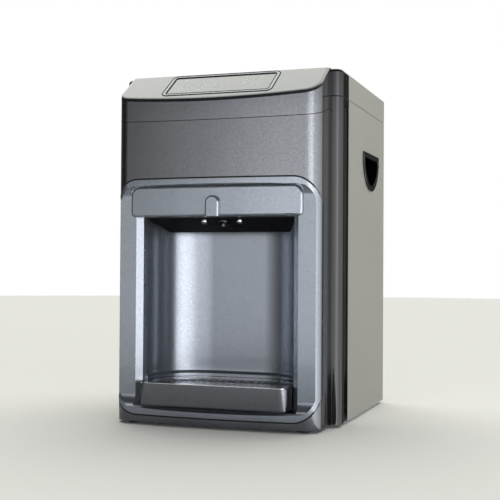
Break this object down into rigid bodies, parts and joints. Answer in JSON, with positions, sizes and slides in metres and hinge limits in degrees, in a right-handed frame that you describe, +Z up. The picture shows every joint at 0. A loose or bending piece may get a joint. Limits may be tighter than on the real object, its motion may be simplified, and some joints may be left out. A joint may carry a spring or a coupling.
{
  "type": "countertop water dispenser",
  "caption": "Countertop hot and cold water dispenser: gunmetal casing, silver-framed cup niche, pull-out drip tray, sloping touch facia and side hand grips.",
  "frame": {"origin": "middle of the footprint on the worktop", "axes": "+Z up, the front with the cup niche faces -Y, +X to the right seen from the front"},
  "size_m": [0.335, 0.365, 0.5],
  "materials": {
    "gunmetal_plastic": "metallic gloss gunmetal",
    "painted_steel": "gloss gunmetal paint",
    "silver_plastic": "satin metallic silver",
    "black_gloss": "gloss black",
    "steel_grille": "polished stainless",
    "zinc_steel": "zinc plated",
    "rear_steel": "satin black paint",
    "stainless": "brushed stainless",
    "rubber": "matt black rubber",
    "black_plastic": "moulded black",
    "foam": "white foam",
    "copper": "drawn copper",
    "white_plastic": "food-grade white plastic",
    "circuit_board": "green solder mask"
  },
  "bodies": {
    "casing": {"base_plate": "zinc_steel", "cold_insulation_left": "foam", "cold_insulation_right": "foam", "cold_tank": "stainless", "cold_tank_lid": "black_plastic", "cold_tube": "white_plastic", "cold_valve": "white_plastic", "compressor": "rear_steel", "compressor_grommets": "rubber", "condenser_coil": "rear_steel", "control_bezel": "silver_plastic", "control_board": "circuit_board", "control_overlay": "gunmetal_plastic", "drain_fitting": "black_plastic", "drier": "copper", "evaporator_coil": "copper", "fan_bracket": "zinc_steel", "fan_motor": "black_plastic", "fan_shroud": "black_plastic", "feed_tubes": "white_plastic", "filter_cartridges": "white_plastic", "filter_head": "black_plastic", "front_bezel": "silver_plastic", "front_panel": "gunmetal_plastic", "header_cover": "silver_plastic", "heater_band": "stainless", "hot_insulation": "foam", "hot_tank": "stainless", "hot_tube": "white_plastic", "hot_valve": "white_plastic", "inlet_fitting": "black_plastic", "inlet_valve": "white_plastic", "left_channel_trim": "black_gloss", "left_corner_pillar": "black_gloss", "left_handle_cup": "black_gloss", "left_side_panel": "painted_steel", "niche_liner": "silver_plastic", "nozzle": "black_gloss", "nozzle_housing": "black_gloss", "nozzle_screws": "steel_grille", "power_board": "circuit_board", "power_inlet": "black_plastic", "rear_panel": "rear_steel", "rear_screws": "steel_grille", "refrigerant_tubes": "copper", "right_channel_trim": "black_gloss", "right_corner_pillar": "black_gloss", "right_handle_cup": "black_gloss", "right_side_panel": "painted_steel", "rubber_feet": "rubber", "switch_frame": "black_plastic", "tank_shelf": "zinc_steel", "thermostats": "black_plastic", "top_cover": "gunmetal_plastic"},
    "drip_tray": {"drip_tray": "gunmetal_plastic"},
    "drip_grille": {"drip_grille": "steel_grille"},
    "condenser_fan": {"condenser_fan": "black_plastic"},
    "hot_switch": {"hot_switch": "black_plastic"},
    "cooling_switch": {"cooling_switch": "black_plastic"},
    "drain_cap": {"drain_cap": "black_plastic"}
  },
  "joints": [
    {"name": "drip_tray_slide", "type": "slide", "parent": "casing", "child": "drip_tray", "axis": [0, -1, 0], "range_m": [0, 0.12]},
    {"name": "drip_grille_lift", "type": "slide", "parent": "drip_tray", "child": "drip_grille", "axis": [0, 0, 1], "range_m": [0, 0.04]},
    {"name": "condenser_fan_spin", "type": "hinge", "parent": "casing", "child": "condenser_fan", "pos_m": [0.0693, 0.1, 0.085], "axis": [0, 1, 0], "continuous": true},
    {"name": "hot_switch_rock", "type": "hinge", "parent": "casing", "child": "hot_switch", "pos_m": [-0.1092, 0.166, 0.27], "axis": [1, 0, 0], "range_deg": [0, 17]},
    {"name": "cooling_switch_rock", "type": "hinge", "parent": "casing", "child": "cooling_switch", "pos_m": [-0.0888, 0.166, 0.27], "axis": [1, 0, 0], "range_deg": [0, 17]},
    {"name": "drain_cap_pull", "type": "slide", "parent": "casing", "child": "drain_cap", "axis": [0, 1, 0], "range_m": [0, 0.014]}
  ]
}
